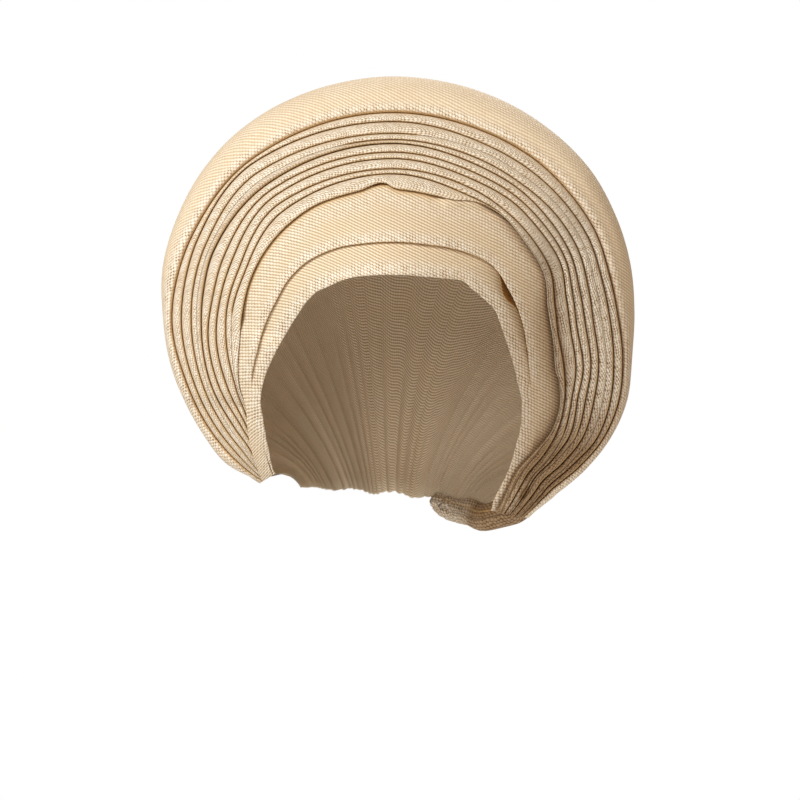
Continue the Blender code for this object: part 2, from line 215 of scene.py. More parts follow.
# One row for each section, one column for each groove between two pleats, from the face outward
Folds = namedtuple("Folds", "angle a b c d e f g h i")
FOLDS = (
    Folds(-122, 143.5, 144.4, 145.7, 147.0, 148.2, 149.0, 149.8, 151.5, 153.4),
    Folds(-110, 141.0, 142.4, 144.3, 147.1, 151.1, 154.5, 158.0, 164.0, 170.0),
    Folds(-100, 143.0, 145.0, 149.0, 154.0, 161.0, 165.5, 170.0, 177.4, 184.4),
    Folds(-85, 156.5, 158.0, 167.0, 175.5, 183.0, 187.0, 191.5, 200.0, 207.6),
    Folds(-70, 172.0, 177.6, 188.4, 197.0, 204.0, 209.0, 214.6, 225.4, 235.6),
    Folds(-60, 185.0, 191.0, 200.0, 208.0, 219.0, 224.5, 230.0, 240.0, 249.0),
    Folds(-50, 195.0, 202.0, 212.0, 221.5, 233.8, 238.8, 243.8, 253.9, 260.5),
    Folds(-30, 219.0, 227.0, 236.0, 243.0, 250.0, 257.0, 265.0, 275.6, 279.4),
    Folds(0, 226.5, 231.3, 241.7, 248.0, 256.8, 260.5, 266.8, 278.7, 287.7),
    Folds(20, 218.4, 226.0, 234.8, 241.7, 249.7, 256.0, 264.0, 272.0, 283.5),
    Folds(30, 216.0, 220.8, 232.3, 238.6, 246.3, 252.0, 260.0, 268.3, 279.8),
    Folds(40, 207.0, 214.0, 225.4, 232.3, 239.6, 248.0, 255.5, 262.6, 272.7),
    Folds(50, 198.0, 205.0, 217.7, 224.0, 230.9, 240.0, 247.5, 254.7, 264.0),
    Folds(60, 181.0, 187.4, 201.0, 208.3, 216.6, 226.0, 234.0, 241.7, 250.5),
    Folds(70, 172.0, 177.0, 190.5, 197.2, 206.2, 214.6, 223.0, 231.7, 240.3),
    Folds(80, 167.0, 174.2, 186.3, 193.6, 201.4, 209.3, 217.0, 224.6, 233.8),
    Folds(90, 168.5, 172.0, 179.0, 184.8, 193.0, 201.5, 210.0, 218.0, 226.5),
    Folds(100, 164.0, 168.0, 175.0, 181.6, 188.0, 195.0, 202.0, 208.7, 214.6),
    Folds(110, 154.0, 161.0, 167.5, 171.0, 175.0, 182.0, 187.5, 191.0, 197.8),
    Folds(120, 148.0, 154.0, 159.0, 161.5, 164.0, 170.0, 174.5, 177.5, 182.5),
    Folds(136, 156.0, 159.5, 162.5, 164.0, 165.5, 168.5, 171.5, 173.0, 175.5),
)

# %% [markdown]
# ## How the surfaces are worked out
#
# A value at any angle is read from a table's column with a smooth curve that never overshoots.
# One function places a point by its angle, its radius in the picture and its depth.

# %% Curves and places


def ramp(value, start, end):
    """0 at start and before it, 1 at end and past it, smooth between."""
    u = np.clip((np.asarray(value, float) - start) / (end - start), 0, 1)
    return u * u * (3 - 2 * u)


def window(value, start, full, fading, end):
    """0 outside start and end, 1 between full and fading, smooth between."""
    return ramp(value, start, full) * (1 - ramp(value, fading, end))


def hump(value, middle, spread):
    """A bell: 1 at the middle, and falling off on both sides with the square of the distance."""
    return np.exp(-(((np.asarray(value, float) - middle) / spread) ** 2))


def through(rows, name, where):
    """A table's column at every place along its first one, mostly an angle: cubic pieces whose slopes
    are the harmonic mean of the steps."""
    at = np.array([row[0] for row in rows], float)
    values = np.array([getattr(row, name) for row in rows], float)
    steps = np.diff(at)
    slopes = np.diff(values) / steps
    before, after = slopes[:-1], slopes[1:]
    same_way = before * after > 0
    total = np.where(same_way, before + after, 1)
    tangents = np.zeros(len(values))
    tangents[0], tangents[-1] = slopes[0], slopes[-1]
    tangents[1:-1] = np.where(same_way, 2 * before * after / total, 0)
    i = np.clip(np.searchsorted(at, where) - 1, 0, len(steps) - 1)
    u = (where - at[i]) / steps[i]
    rise = values[i + 1] - values[i]
    first, last = tangents[i] * steps[i], tangents[i + 1] * steps[i]
    return values[i] + u * (first + u * (3 * rise - 2 * first - last + u * (first + last - 2 * rise)))


def place(angle, radius, y):
    """The point that shows at that angle and picture radius and lies at depth y."""
    metres = radius * PIXEL * (1 + y / VIEW_DISTANCE)
    turn = np.radians(angle - FOOT_SLANT * (radius - FOOT_PIVOT) * ramp(angle, FOOT_START, RIGHT_FOOT))
    return np.stack([metres * np.sin(turn), y, metres * np.cos(turn)], -1)


def front_y(angle, radius):
    """Depth of the front's own surface: from the face edge back to the rim, by a power of the share."""
    face = through(SECTIONS, "face", angle)
    rim = through(RIM, "radius", angle)
    share = np.clip((radius - face) / (rim - face), 0, None)
    start = -FACE_DEPTH * through(SECTIONS, "depth", angle)
    end = REAR_DEPTH * through(SECTIONS, "rear", angle)
    return start + (end - start) * share ** FRONT_CURVE


def front(angle, radius, behind=0.0):
    """A point of the front, so many metres behind its own surface."""
    angle, radius, behind = np.broadcast_arrays(angle, radius, behind)
    return place(angle, radius, front_y(angle, radius) + behind)


def over_depth(angle):
    """The over band runs over the pleats' level at the left foot, and under them elsewhere."""
    return LAYER * ramp(angle, *OVER_CROSSES)


def fan_depth(angle):
    """The fan lies behind the over band at the left foot."""
    return (BAND_WALL + GAP) * (1 - ramp(angle, *FAN_CROSSES))


# %% [markdown]
# ## From a grid to a mesh
#
# A piece is a closed skin: each column of the grid is one ring round the cloth's thickness, and
# the columns follow each other round the face. The cloth's own lengths go into its UV map, in
# metres, so that the weave has its real size. Three masks follow the folds and paint light and
# shade into the colour: on the crests, where the cloth catches the light, a painted highlight;
# where two folds meet, painted shade in the grooves; and where it turns away, painted shade.

# %% Grid to mesh
MASKS = ("crest_highlight", "shaded_groove", "shade")


def cloth_piece(name, points, flat, crest_highlight, shaded_groove, shade=0):
    """points is (columns, rows, 3), each column a ring; flat is where each point lies on the flat cloth."""
    columns, rows = points.shape[:2]
    index = np.arange(columns * rows).reshape(columns, rows)
    i = np.arange(rows)
    j = (i + 1) % rows
    faces = np.stack([index[:-1, i], index[1:, i], index[1:, j], index[:-1, j]], -1).reshape(-1, 4)
    polygons = faces.tolist() + [index[0].tolist(), index[-1][::-1].tolist()]
    mesh = bpy.data.meshes.new(name)
    mesh.from_pydata(points.reshape(-1, 3).tolist(), [], polygons)
    mesh.polygons.foreach_set("use_smooth", np.ones(len(mesh.polygons), bool))
    flat = flat.reshape(-1, 2)
    corners = np.empty(len(mesh.loops), np.int32)
    mesh.loops.foreach_get("vertex_index", corners)
    mesh.uv_layers.new(name="cloth").data.foreach_set("uv", flat[corners].astype(np.float32).ravel())
    for mask, values in zip(MASKS, (crest_highlight, shaded_groove, shade)):
        data = mesh.attributes.new(mask, "FLOAT", "POINT").data
        data.foreach_set("value", np.broadcast_to(values, (columns, rows)).astype(np.float32).ravel())
    piece = bpy.data.objects.new(name, mesh)
    bpy.context.scene.collection.objects.link(piece)
    print(name, len(polygons) * 2, "triangles")
    return piece


def along(points):
    """Length along a row of points, from its first column."""
    steps = np.linalg.norm(np.diff(points, axis=0), axis=-1)
    return np.concatenate([np.zeros((1,) + steps.shape[1:]), steps.cumsum(0)], 0)


def across(points):
    """Length across each column of points, from its first row."""
    return along(points.swapaxes(0, 1)).T


RIB_SLOPE = 0.48           # how the ribs of the weave slope down to the right
RIB_BEND = 4.6             # how strongly they bend round on the left
BEND_START = 0.03          # metres to the left of the middle: where that bend starts
FOOT_FAN = 1.2             # how they fan out at the left foot
FOOT_SIDE = 0.075          # metres to the left: the middle of that foot
FOOT_HEIGHTS = (-0.01, 0.04)


def grain(angle, reach, foot=0.0):
    """Where a point of the wound cloth lies on the flat cloth: across it the way up, plus a slope with
    the way to the right, plus the square of the way to the left; at the left foot the ribs fan out."""
    turn = np.radians(angle)
    side, up = reach * np.sin(turn), reach * np.cos(turn)
    bent = up + RIB_SLOPE * side + RIB_BEND * np.minimum(side + BEND_START, 0) ** 2
    fanned = FOOT_FAN * foot * ramp(-up, *FOOT_HEIGHTS) * (side + FOOT_SIDE) * (side < 0)
    return np.stack([side, bent - fanned], -1)


def flat_size(points, shown):
    """Mean length and mean width of the shown rows of a strip."""
    strip = points[:, shown]
    length = along(strip)[-1].mean()
    width = np.linalg.norm(np.diff(strip, axis=1), axis=-1).sum(1).mean()
    return float(length), float(width)


# %% [markdown]
# ## The weave
#
# Seen close, the cloth is a small diamond weave: raised floats of pale, slightly glossy yarn in
# slanting rows, with darker tan between them. Every thread could be modelled, but a relief of
# 0.3 mm would take millions of faces, so the weave is colour and bump. One node group makes it
# from three cosine waves in the UV map, and puts out the height of the thread, the floats that
# glint, which the materials paint pale as a painted highlight, and the pits between them.

# %% Node helpers


class Nodes:
    """Short calls for a node tree: each makes a node, sets or links its inputs and returns it."""

    def __init__(self, tree):
        self.tree = tree

    def put(self, socket, value):
        if isinstance(value, bpy.types.NodeSocket):
            self.tree.links.new(value, socket)
        else:
            socket.default_value = value

    def add(self, kind, inputs=(), **settings):
        node = self.tree.nodes.new(kind)
        for key, value in settings.items():
            setattr(node, key, value)
        for key, value in dict(inputs).items():
            self.put(node.inputs[key], value)
        return node

    def maths(self, operation, first, second=0.0, third=0.0):
        node = self.add("ShaderNodeMath", {0: first, 1: second, 2: third}, operation=operation)
        return node.outputs[0]

    def mix(self, share, first, second, blend="MIX"):
        node = self.add("ShaderNodeMix", data_type="RGBA", blend_type=blend)
        for key, value in ((0, share), (6, first), (7, second)):
            self.put(node.inputs[key], value)
        return node.outputs[2]

    def spread(self, value, low, high, to_low=0.0, to_high=1.0):
        node = self.add("ShaderNodeMapRange", {0: value, 1: low, 2: high, 3: to_low, 4: to_high})
        node.interpolation_type = "SMOOTHSTEP"
        return node.outputs[0]


def new_group(name, inputs, outputs):
    group = bpy.data.node_groups.new(name, "ShaderNodeTree")
    for title, kind in inputs:
        group.interface.new_socket(title, in_out="INPUT", socket_type=kind)
    for title, kind in outputs:
        group.interface.new_socket(title, in_out="OUTPUT", socket_type=kind)
    nodes = Nodes(group)
    return group, nodes, nodes.add("NodeGroupInput"), nodes.add("NodeGroupOutput")


# %% Weave group
STRAY_SCALE = 160.0        # of the noise that pulls the threads out of line
NUMBER, VECTOR = "NodeSocketFloat", "NodeSocketVector"
weave_group, n, given, result = new_group(
    "diamond_weave",
    [("UV", VECTOR), ("Along", NUMBER), ("Across", NUMBER), ("Rib", NUMBER), ("Stray", NUMBER)],
    [("Thread", NUMBER), ("Glint", NUMBER), ("Pit", NUMBER)],
)
stray = n.add("ShaderNodeTexNoise", {"Vector": given.outputs["UV"], "Scale": STRAY_SCALE, "Detail": 2.0})
centred = {0: stray.outputs["Color"], 1: (0.5, 0.5, 0.5)}
offset = n.add("ShaderNodeVectorMath", centred, operation="SUBTRACT")
pulled = n.add("ShaderNodeVectorMath", {0: offset.outputs[0], 3: given.outputs["Stray"]}, operation="SCALE")
moved = n.add("ShaderNodeVectorMath", {0: given.outputs["UV"], 1: pulled.outputs[0]}, operation="ADD")
parts = n.add("ShaderNodeSeparateXYZ", {0: moved.outputs[0]})
s = n.maths("DIVIDE", parts.outputs[0], given.outputs["Along"])
t = n.maths("DIVIDE", parts.outputs[1], given.outputs["Across"])
wave_s = n.maths("COSINE", n.maths("MULTIPLY", s, math.tau))
wave_t = n.maths("COSINE", n.maths("MULTIPLY", t, math.tau))
wave_st = n.maths("COSINE", n.maths("MULTIPLY", n.maths("SUBTRACT", s, t), math.tau))
dots = n.maths("MULTIPLY_ADD", wave_st, 0.5, n.maths("ADD", wave_s, wave_t))
waves = n.maths("MULTIPLY_ADD", wave_t, n.maths("SUBTRACT", given.outputs["Rib"], 1.0), dots)
reach = n.maths("ADD", n.maths("MULTIPLY", given.outputs["Rib"], 2.0), 3.0)
thread = n.maths("ADD", n.maths("DIVIDE", waves, reach), 0.5)
cell = n.add("ShaderNodeCombineXYZ", {0: n.maths("ROUND", s), 1: n.maths("ROUND", t)})
chance = n.add("ShaderNodeTexWhiteNoise", {0: cell.outputs[0]}, noise_dimensions="2D").outputs["Value"]
# Glint: the floats that catch the light, painted pale as a painted highlight.
glint = n.maths("MULTIPLY", n.spread(dots, 0.2, 1.5), n.spread(chance, 0.15, 0.7))
pit = n.maths("MULTIPLY", n.spread(dots, -1.1, -0.1, 1.0, 0.0), n.spread(chance, 0.2, 0.65, 1.0, 0.15))
n.put(result.inputs["Thread"], thread)
n.put(result.inputs["Glint"], glint)
n.put(result.inputs["Pit"], pit)

# %% [markdown]
# ## Cloth materials
#
# The same cream cloth is on every piece. Light and shade are painted into its colour: a painted
# highlight makes it palest on the crests, where the floats catch the light, and painted shade makes
# it ochre and deep brown in the grooves and darker where it turns away. Image textures could colour
# it, but the masks come from the folds' own formulas, so every colour lies exactly on its fold. The
# pieces differ in how much the slanting rows stand out, how dark the weave is between them and how
# far its threads stray.

# %% Cloth material
CREAM = (0.90, 0.740, 0.540, 1)     # the yarn
TAN = (0.52, 0.375, 0.215, 1)       # between its floats
# The pale colour is a painted highlight, on the crests and on the floats that glint.
PALE_HIGHLIGHT = (1.0, 0.95, 0.86, 1)         # floats that glint
PIT = (0.19, 0.100, 0.035, 1)       # open points of the weave
CLOUD = (0.74, 0.53, 0.32, 1)       # slow changes of colour
# The ochre and brown are painted shade: warm on the shaded side beside a groove, dark deep in it.
OCHRE_SHADE = (0.60, 0.385, 0.155, 1)     # beside a groove
BROWN_SHADE = (0.210, 0.075, 0.008, 1)    # in a groove
SHADE = (0.30, 0.195, 0.100, 1)     # what full shade leaves of the other colours
GLOSS = (1.0, 0.80, 0.58, 1)        # the yarn's warm sheen
BRIM_TAN = (0.66, 0.50, 0.32, 1)
WEAVE_ALONG, WEAVE_ACROSS = 0.00170, 0.00174
WEAVE_HEIGHT = 0.00030
CLOUD_SCALE, CLOUD_SHARE = 45.0, 0.15
RIB_ON_CREST = 0.4                  # of the rows' height: what is left of it on a crest
STRAY_ON_CREST = 0.0012             # metres that the threads stray more there


def cloth_material(name, rib=3.4, valley=TAN, stray=0.0006):
    """The cream cloth. Where it lies smooth, rib is how much its slanting rows stand out and stray is how
    far its threads wander, in metres; valley is the colour between them."""
    material = bpy.data.materials.new(name)
    material.use_nodes = True
    n = Nodes(material.node_tree)
    shader = material.node_tree.nodes["Principled BSDF"]
    uv = n.add("ShaderNodeUVMap", uv_map="cloth").outputs[0]
    crest_highlight, shaded_groove, shade = (
        n.add("ShaderNodeAttribute", attribute_name=mask).outputs["Fac"] for mask in MASKS)
    weave = n.add("ShaderNodeGroup", node_tree=weave_group)
    for key, value in (("UV", uv), ("Along", WEAVE_ALONG), ("Across", WEAVE_ACROSS)):
        n.put(weave.inputs[key], value)
    n.put(weave.inputs["Rib"], n.maths("MULTIPLY_ADD", crest_highlight, (RIB_ON_CREST - 1) * rib, rib))
    n.put(weave.inputs["Stray"], n.maths("MULTIPLY_ADD", crest_highlight, STRAY_ON_CREST, stray))
    noise = n.add("ShaderNodeTexNoise", {"Vector": uv, "Scale": CLOUD_SCALE, "Detail": 3.0})
    cloud = n.spread(noise.outputs["Fac"], 0.35, 0.7, 0.0, CLOUD_SHARE)
    thread = weave.outputs["Thread"]
    woven = n.mix(n.spread(thread, 0.22, 0.68), valley, CREAM)
    # Painted highlight: pale on the crests, and on the floats that glint.
    woven = n.mix(n.maths("MULTIPLY", crest_highlight, 0.22), woven, PALE_HIGHLIGHT)
    glint = n.maths("MULTIPLY", weave.outputs["Glint"], n.maths("MULTIPLY_ADD", crest_highlight, 0.88, 0.10))
    woven = n.mix(glint, woven, PALE_HIGHLIGHT)
    pit = n.maths("MULTIPLY", weave.outputs["Pit"], n.maths("MULTIPLY_ADD", crest_highlight, 0.80, 0.05))
    woven = n.mix(pit, woven, PIT)
    woven = n.mix(cloud, woven, CLOUD)
    # Painted shade, by the shade mask.
    woven = n.mix(shade, woven, SHADE, "MULTIPLY")
    # Painted shade beside and in the grooves.
    woven = n.mix(n.spread(shaded_groove, 0.05, 0.60, 0.0, 0.80), woven, OCHRE_SHADE)
    woven = n.mix(n.spread(shaded_groove, 0.62, 1.0, 0.0, 0.95), woven, BROWN_SHADE)
    n.put(shader.inputs["Base Color"], woven)
    n.put(shader.inputs["Roughness"], n.spread(thread, 0.2, 0.9, 0.72, 0.5))
    shader.inputs["Specular IOR Level"].default_value = 0.30
    shader.inputs["Specular Tint"].default_value = GLOSS
    shader.inputs["Sheen Tint"].default_value = GLOSS
    shader.inputs["Sheen Weight"].default_value = 0.12
    shader.inputs["Sheen Roughness"].default_value = 0.5
    bump = n.add("ShaderNodeBump", {"Height": thread, "Distance": WEAVE_HEIGHT, "Strength": 1.0})
    n.put(shader.inputs["Normal"], bump.outputs["Normal"])
    return material


def finish_piece(piece, node, material, flat):
    """Gives a piece its cloth and its body, hides the solid that it stands for and prints its flat size."""
    piece.data.materials.append(material)
    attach(piece, "root")
    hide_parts(node)
    print(" flat", [round(1000 * side) for side in flat], "mm")


# %% [markdown]
# ## Wound bands
#
# The first two turns of the real cloth are wound flat over the brow, the second over the first
# one's upper edge. An open strip with a Solidify modifier could stand for each, but its edges
# would be square, and folded cloth has round ones. So the profile is a whole ring: a rolled lower
# edge, a half circle from its rear to its front, then the front face, a rolled outer edge and the
# rear face again.

# %% Band profile
ROLL_STEPS = 7
FACE_STEPS = 26
REAR_STEPS = 5
COLUMNS = 440


def band_profile(inner, outer, wall):
    """Radius and depth of a band's ring at every column; both ends are half circles."""
    half = wall / 2
    bend = np.radians(np.linspace(-90, 90, ROLL_STEPS))
    w = np.linspace(0, 1, FACE_STEPS + 2)[1:-1]
    back = np.linspace(1, 0, REAR_STEPS + 2)[1:-1]
    roll = (half / PIXEL)[:, None]
    first, last = inner[:, None] + roll, outer[:, None] - roll
    radius = np.concatenate([
        first - roll * np.cos(bend),
        first + (last - first) * w,
        last + roll * np.cos(bend),
        first + (last - first) * back,
    ], 1)
    depth = np.concatenate([
        half[:, None] * (1 - np.sin(bend)),
        np.zeros((len(inner), FACE_STEPS)),
        half[:, None] * (1 + np.sin(bend)),
        np.broadcast_to(wall[:, None], (len(inner), REAR_STEPS)),
    ], 1)
    return radius, depth


BAND_FRONT = slice(ROLL_STEPS // 2, ROLL_STEPS + FACE_STEPS)
angles = np.linspace(LEFT_FOOT, RIGHT_FOOT, COLUMNS)
face_edge = through(FACE_EDGE, "radius", angles)
over_edge = through(OVER_EDGE, "radius", angles)
lip = through(LIP, "radius", angles)

# %% Brow band
column = angles[:, None]
# A painted highlight on the floats of the rolled edges, as strong as this.
EDGE_HIGHLIGHT = 0.95
OVER_FADE = (-88, -77, 77, 88)      # degrees: the over band thins out towards both feet
THIN = 0.16                         # of its wall: what is left of it there
BROW_WALL = 0.0016
BROW_UNDER = 17                     # pixels that the brow band goes on under the over band
BROW_SWELL = 0.0009                 # how far it is rounded out near its lower edge
TEMPLE = (39, 46.5, 47.5, 55)       # degrees: the two bands part there
TEMPLE_DEPTH = 0.0024
TEMPLE_WIDTH = 6.5                  # pixels
TEMPLE_LINE = (37, 41, 70, 80)      # degrees: the dark line between the bands is at its widest
TEMPLE_SHADE = (30, 46, 60, 95)     # degrees: the over band shades the brow band
# Painted shade on the right, where the bands turn away from the light.
RIGHT_SIDE, RIGHT_SHADE = (40, 65), 0.36

over_shown = window(column, *OVER_FADE)
over_step = THIN + (1 - THIN) * window(angles, *OVER_FADE)
over_wall = BAND_WALL * over_step
brow_outer = np.minimum(over_edge + BROW_UNDER, lip - 2)
radius, depth = band_profile(face_edge, brow_outer, np.full(COLUMNS, BROW_WALL))
from_face, from_over = radius - face_edge[:, None], radius - over_edge[:, None]
parted = window(column, *TEMPLE)
level = (over_depth(angles) + over_wall + GAP * over_step)[:, None]
swell = TEMPLE_DEPTH * parted * ramp(from_over, -12, -1) - BROW_SWELL * hump(from_face, 9, 8)
points = front(column, radius, depth + level + swell)
# Painted highlight along the lower edge.
crest_highlight = EDGE_HIGHLIGHT * (1 - ramp(from_face, 6, 19))
# Painted shade: the dark line in the gap where the two bands part at the temple, and a line under the over
# band's edge.
gap_edge = -1.2 - TEMPLE_WIDTH * parted
gap_shade = window(column, *TEMPLE_LINE) * ramp(from_over, gap_edge - 0.5, gap_edge + 0.7)
shaded_groove = np.maximum(0.8 * ramp(from_over, -2.2, 0.8) * over_shown, gap_shade)
on_right = ramp(column, *RIGHT_SIDE)
# Painted shade under the over band at the temple, and on the right.
under_over = 0.65 * ramp(from_over, -16, -2) * window(column, *TEMPLE_SHADE)
shade = np.maximum(under_over, RIGHT_SHADE * on_right)
flat = grain(column, radius * PIXEL, 1.0)
brow = cloth_piece("brow_band_cloth", points, flat, crest_highlight, shaded_groove, shade)
finish_piece(brow, "brow_band", cloth_material("brow_cloth"), flat_size(points, BAND_FRONT))

# %% Over band
UNDER_PLEAT = 9                     # pixels that it goes on under the first pleat
UNDER_FOOT = 2                      # and at the left foot
UNDER_LESS = 5                      # pixels that this is less on the right
LEFT_CROSSING = (-94, -88)          # degrees: its outer edge slips under the pleats
DIP, DIP_SPAN = 0.0012, (-94, -88, -66, -61)
LIP_RISE, RISE_SPAN = 0.0013, (-61, -52, 8, 14)
MERGE = (11, 16, 22, 28)            # degrees: the first pleat's lip runs out into the band
MERGE_RISE = 0.0034
OVER_SWELL, SWELL_SPAN = 0.0016, (-100, -60, 60, 110)
PEAK = (-6.6, -4.8, -2.2, -0.8)     # degrees: the small hollow under the pleats' peak
# The olive strip along the first pleat's lip is painted shade, where the lip shades the band.
OLIVE_SHADE = 0.50                        # share of the soft olive strip in the line along the lip
OLIVE_END = (8, 22)                 # degrees: it gives way to a thin line

crossing = ramp(angles, *LEFT_CROSSING)
beside = UNDER_FOOT + (UNDER_PLEAT - UNDER_FOOT) * ramp(angles, -66, -58) - UNDER_LESS * ramp(angles, 45, 58)
over_outer = through(OVER_OUT, "radius", angles) * (1 - crossing) + (lip + beside) * crossing
radius, depth = band_profile(over_edge, over_outer, over_wall)
from_lip, in_band = radius - lip[:, None], radius - over_edge[:, None]
dip = DIP * ramp(from_lip, -6, 1) * window(column, *DIP_SPAN)
dip = dip - LIP_RISE * window(from_lip, -18, -5, -0.5, 3) * window(column, *RISE_SPAN)
merge = window(column, *MERGE) * window(from_lip, -11, -2, 0.5, 4)
share = np.clip(in_band / np.maximum(lip - over_edge, 6)[:, None], 0, 1)
swell = -OVER_SWELL * np.sin(np.pi * share) ** 0.7 * window(column, *SWELL_SPAN)
level = over_depth(column) - MERGE_RISE * merge + dip + swell
points = front(column, radius, depth + level)

past_foot = column > -92
# Painted highlight on the edges, near the lip and at the left foot.
crest_highlight = EDGE_HIGHLIGHT * (1 - ramp(in_band, 4, 15)) * (0.4 + 0.6 * over_shown)
crest_highlight = np.maximum(crest_highlight, 0.40 * window(from_lip, -26, -15, -9, -4) * past_foot)
crest_highlight = np.maximum(crest_highlight, 0.55 * window(column, -115, -80, -62, -45))
# Painted shade: along the lip, in the hollow under the peak and along the lower edge.
olive_shade = OLIVE_SHADE * (1 - ramp(column, *OLIVE_END))
shaded_groove = olive_shade * ramp(from_lip, -5.5, -1.5) + (1 - olive_shade) * ramp(from_lip, -0.9, 0.5)
shaded_groove = np.maximum(shaded_groove, ramp(from_lip, -3.4, -1.8) * window(column, *PEAK))
shaded_groove = shaded_groove * ramp(column, *OVER_CROSSES) * (1 - merge)
shaded_groove = np.maximum(shaded_groove, 0.9 * ramp(from_lip, -0.9, 0.7) * past_foot * (1 - merge))
shaded_groove = np.maximum(shaded_groove, 0.45 * (1 - ramp(in_band, -0.2, 1.6)) * window(column, -90, -70, 25, 45))
# Painted shade under the first pleat and on the right.
under_pleat = 0.34 * window(column, 27, 34, 40, 60) * ramp(from_lip, -14, -3)
shade = np.maximum(on_right * (RIGHT_SHADE + 0.34 * ramp(from_lip, -24, 0)), under_pleat)
flat = grain(column, radius * PIXEL, 1.0)
over = cloth_piece("over_band_cloth", points, flat, crest_highlight, shaded_groove, shade)
finish_piece(over, "over_band", cloth_material("over_cloth"), flat_size(points, BAND_FRONT))

# %% [markdown]
# ## Pleats
#
# The rest of the cloth is laid in deep pleats, one over the other. A cloth simulation could fold
# them, but its folds wouldn't follow the picture's lines, so each fold is a formula between two of
# these lines. It starts with a lip, half an ellipse that lies over the groove before it, rises to
# its crest, and sinks under the next lip. Nine grooves part ten folds, of which the last is the
# brim. Some grooves run out at the top or low on the right, so at most eight pleats show at any
# angle.

# %% Pleat lines
NAMES = "abcdefghi"
FLOORS = np.array([FIRST_FLOOR, SECOND_FLOOR] + [PLEAT_FLOOR] * 8)
FEET_FADE = (-122, -90, 118, 140)   # degrees: the grooves grow shallow towards both feet
FOOT_RELIEF = 0.35                  # of a groove's depth: what is left of it there
LOW_RELIEF = np.array([1.2, 0.0, 1.35, 0.12, 1.3, 0.0, 1.25, 0.1, 1.1, 0.9])
DRAWN_IN = (92, 108)                # degrees: low on the right some grooves run out, others deepen
SOFT_END = (-28, 14)                # middle and spread in degrees: the last groove is softer there
TO_RIGHT, TO_LEFT, LOW_RIGHT = (30, 60), (-60, -30), (84, 118)
LINE_WIDTH = 0.2                    # pixels between a fold's end and the next lip


def foot_relief(angle):
    return FOOT_RELIEF + (1 - FOOT_RELIEF) * window(angle, *FEET_FADE)


def pleat_lines(angle):
    """Radius of each lip, (columns, lines): the first one, then one at each groove."""
    return np.stack([through(LIP, "radius", angle)] + [through(FOLDS, name, angle) for name in NAMES], 1)


def pleat_reliefs(angle):
    """How deep the groove at each line is, as a share of its floor."""
    plain = np.full(len(angle), 0.9)
    deep = np.stack([
        THIN + (1 - THIN) * ramp(angle, -67, -60) * (1 - 0.97 * window(angle, *MERGE)),
        ramp(angle, -64, -58) * (1 - ramp(angle, 27, 32)),
        plain,
        plain,
        plain,
        1.0 + 0.2 * window(angle, -60, -48, 0, 12),
        ramp(angle, -14, -7) * 0.85,
        0.85 * (1 - ramp(angle, 1, 9)),
        plain,
        plain - 0.3 * hump(angle, *SOFT_END),
    ], 1)
    drawn_in = ramp(angle, *DRAWN_IN)[:, None]
    return deep * foot_relief(angle)[:, None] * (1 + drawn_in * (LOW_RELIEF - 1))


def nose_width(pitch, to_right):
    """How far a fold's rounded lip reaches over it, in pixels: further on the right, where it is fuller."""
    return np.minimum((0.45 + 0.17 * to_right) * pitch, 5.2 + 2.5 * to_right)


# %% One fold
PLEAT_COLUMNS = 560
LIP_STEPS, SINK_STEPS = 7, 8
INNER_SHADE = (0.45, 0.60, 0.95)    # of the first three folds, on the right
FIFTH_SHADE = 0.75                  # of the fold past the wide fifth groove
LOW_SHADE = 0.88                    # low on the right

pleat_angles = np.linspace(LEFT_FOOT, RIGHT_FOOT, PLEAT_COLUMNS)
pleat_column = pleat_angles[:, None]
lines = pleat_lines(pleat_angles)
reliefs = pleat_reliefs(pleat_angles)
bend = np.radians(np.linspace(-80, 90, LIP_STEPS))
w = np.sin(np.linspace(0, np.pi / 2, SINK_STEPS + 1)[1:])
proud = PROUD * window(pleat_column, *FEET_FADE)
to_right = ramp(pleat_column, *TO_RIGHT)
to_left = 1 - ramp(pleat_column, *TO_LEFT)
low_right = ramp(pleat_column, *LOW_RIGHT)
in_shadow = LOW_SHADE * ramp(pleat_column, 82, 108)
past_fifth = window(pleat_column, -75, -58, -8, 6)


